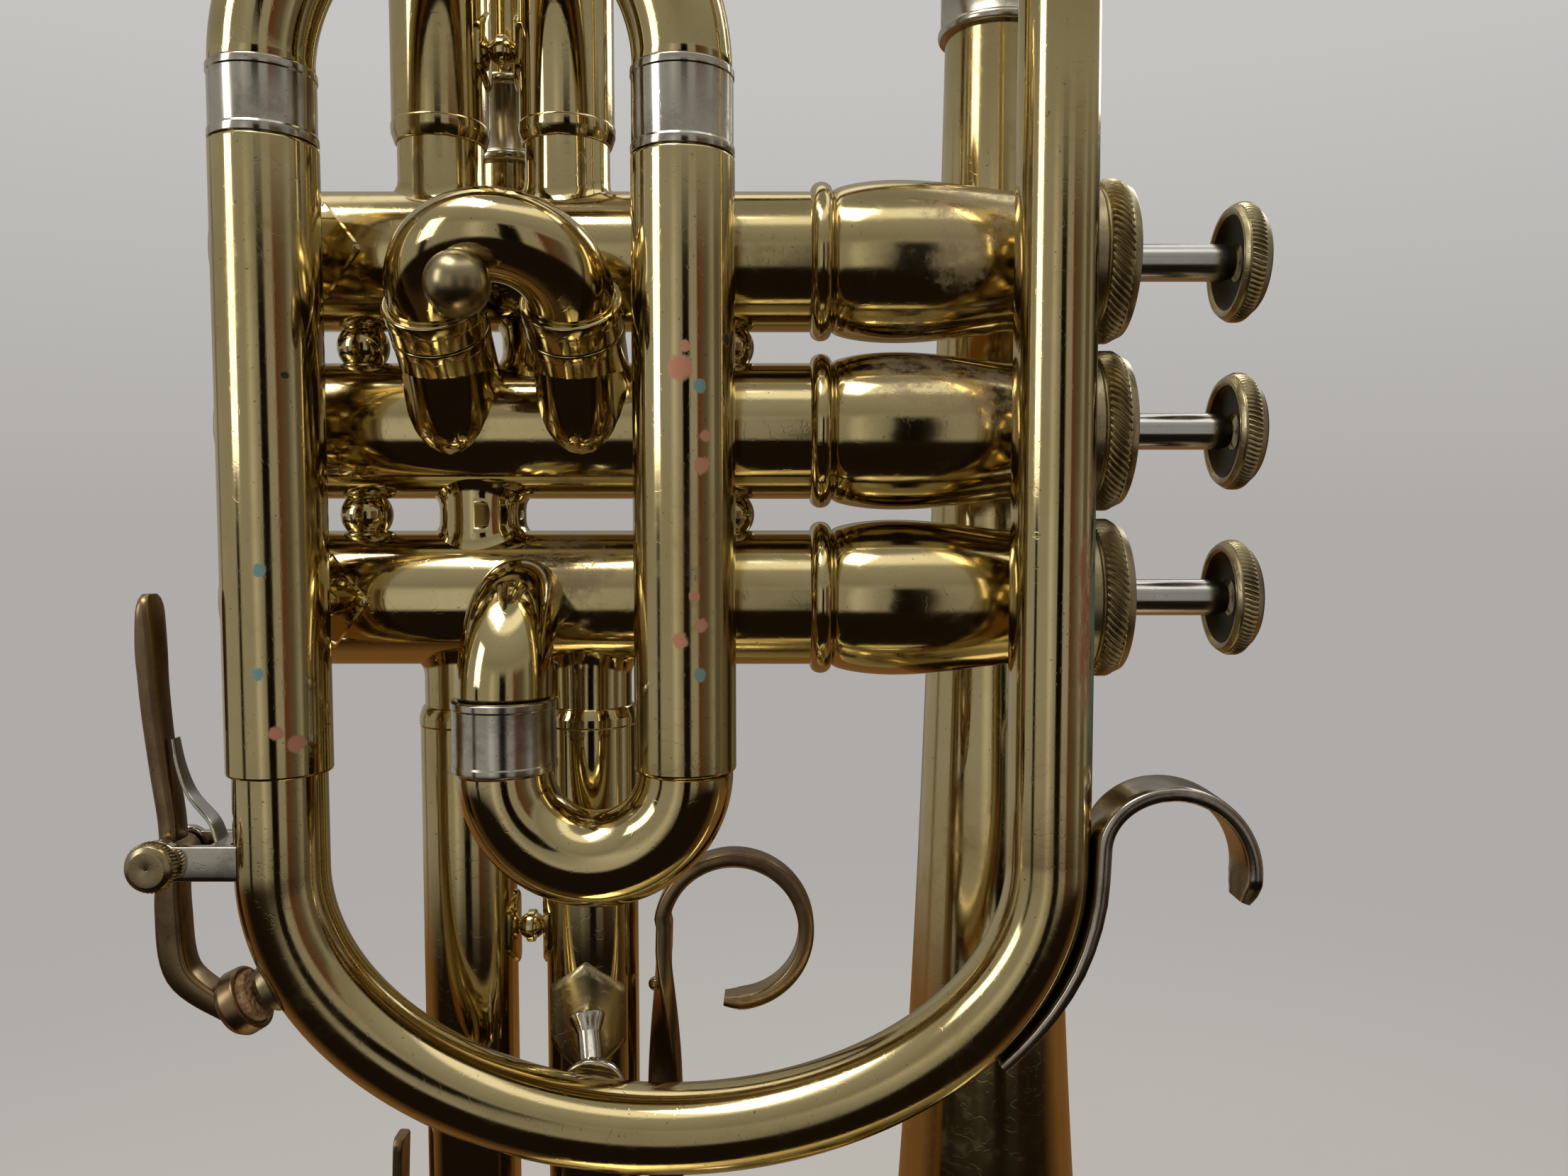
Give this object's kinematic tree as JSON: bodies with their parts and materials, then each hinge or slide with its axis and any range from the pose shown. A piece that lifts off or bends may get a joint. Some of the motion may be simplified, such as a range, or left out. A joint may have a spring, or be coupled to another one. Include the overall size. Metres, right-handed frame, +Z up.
{
  "type": "bugle",
  "caption": "Valved bell-front bugle in marching mellophone layout: piston valves, tuning and valve slides, water keys, finger ring and hook, standing on its bell.",
  "frame": {"origin": "centre of the bell rim, on the ground it stands on", "axes": "+Z up the leadpipe towards the player, +X towards the finger buttons, -Y towards the side of the tuning slide"},
  "size_m": [0.2662, 0.2662, 0.446],
  "materials": {
    "lacquered_brass": "polished, clear lacquer with wear",
    "satin_brass": "satin, aged",
    "tarnished_brass": "tarnished, brown with green spots",
    "nickel_silver": "polished nickel",
    "piston_nickel": "lapped",
    "stem_steel": "satin",
    "spring_steel": "plain",
    "pearl": "pearl",
    "cork": "matt"
  },
  "bodies": {
    "body": {"bell": "lacquered_brass", "rear_bow": "lacquered_brass", "rear_bow_ferrules": "nickel_silver", "bell_tail": "lacquered_brass", "bell_braces": "lacquered_brass", "leadpipe": "lacquered_brass", "receiver": "nickel_silver", "front_bow": "lacquered_brass", "left_sleeve": "lacquered_brass", "right_sleeve": "lacquered_brass", "small_bow": "lacquered_brass", "small_bow_ferrule": "nickel_silver", "elbow": "lacquered_brass", "valve_casing_1": "lacquered_brass", "valve_casing_2": "lacquered_brass", "valve_casing_3": "lacquered_brass", "top_caps": "satin_brass", "bottom_caps": "satin_brass", "valve_guides": "satin_brass", "port_tubes": "lacquered_brass", "casing_spacers": "lacquered_brass", "sleeve_braces": "lacquered_brass", "bow_brace": "nickel_silver", "pinky_hook": "nickel_silver", "bow_key_saddle": "nickel_silver", "bow_key_nipple": "lacquered_brass", "slide_1_sleeves": "lacquered_brass", "slide_2_sleeves": "lacquered_brass", "slide_3_sleeves": "lacquered_brass", "slide_1_brace": "lacquered_brass", "slide_3_brace": "lacquered_brass", "valve_spring_1": "spring_steel", "valve_spring_2": "spring_steel", "valve_spring_3": "spring_steel", "bow_key_screw": "satin_brass"},
    "main_slide": {"tuning_slide": "lacquered_brass", "tuning_ferrules": "nickel_silver"},
    "first_slide": {"slide_1_crook": "lacquered_brass"},
    "second_slide": {"slide_2_crook": "lacquered_brass", "slide_2_knob": "lacquered_brass"},
    "third_slide": {"slide_3_crook": "lacquered_brass", "finger_ring": "tarnished_brass", "slide_3_key_saddle": "nickel_silver"},
    "third_slide_key": {"slide_3_key": "tarnished_brass", "slide_3_key_cork": "cork"},
    "bow_key": {"bow_key_lever": "tarnished_brass", "bow_key_cork": "cork"},
    "valve_1": {"piston_1": "piston_nickel", "stem_1": "stem_steel", "button_1": "satin_brass", "pearl_1": "pearl"},
    "valve_2": {"piston_2": "piston_nickel", "stem_2": "stem_steel", "button_2": "satin_brass", "pearl_2": "pearl"},
    "valve_3": {"piston_3": "piston_nickel", "stem_3": "stem_steel", "button_3": "satin_brass", "pearl_3": "pearl"}
  },
  "joints": [
    {"name": "valve_1_press", "type": "slide", "parent": "body", "child": "valve_1", "axis": [-1, 0, 0], "range_m": [0, 0.015], "stiffness_N_per_m": 60, "springref_m": -0.015, "deforming": ["valve_spring_1"]},
    {"name": "valve_2_press", "type": "slide", "parent": "body", "child": "valve_2", "axis": [-1, 0, 0], "range_m": [0, 0.015], "stiffness_N_per_m": 60, "springref_m": -0.015, "deforming": ["valve_spring_2"]},
    {"name": "valve_3_press", "type": "slide", "parent": "body", "child": "valve_3", "axis": [-1, 0, 0], "range_m": [0, 0.015], "stiffness_N_per_m": 60, "springref_m": -0.015, "deforming": ["valve_spring_3"]},
    {"name": "main_slide_pull", "type": "slide", "parent": "body", "child": "main_slide", "axis": [0, 0, 1], "range_m": [0, 0.045]},
    {"name": "first_slide_pull", "type": "slide", "parent": "body", "child": "first_slide", "axis": [0, 0, 1], "range_m": [0, 0.035]},
    {"name": "second_slide_pull", "type": "slide", "parent": "body", "child": "second_slide", "axis": [0, -0.7071, 0.7071], "range_m": [0, 0.007]},
    {"name": "third_slide_pull", "type": "slide", "parent": "body", "child": "third_slide", "axis": [0, 0, -1], "range_m": [0, 0.03]},
    {"name": "bow_key_open", "type": "hinge", "parent": "body", "child": "bow_key", "pos_m": [-0.1222, -0.0515, 0.2356], "axis": [0, 1, 0], "range_deg": [0, 14], "stiffness_Nm_per_rad": 0.05, "springref_deg": -34.38},
    {"name": "third_slide_key_open", "type": "hinge", "parent": "third_slide", "child": "third_slide_key", "pos_m": [-0.0975, -0.03, 0.151], "axis": [0, 1, 0], "range_deg": [0, 6], "stiffness_Nm_per_rad": 0.04, "springref_deg": -34.38}
  ]
}
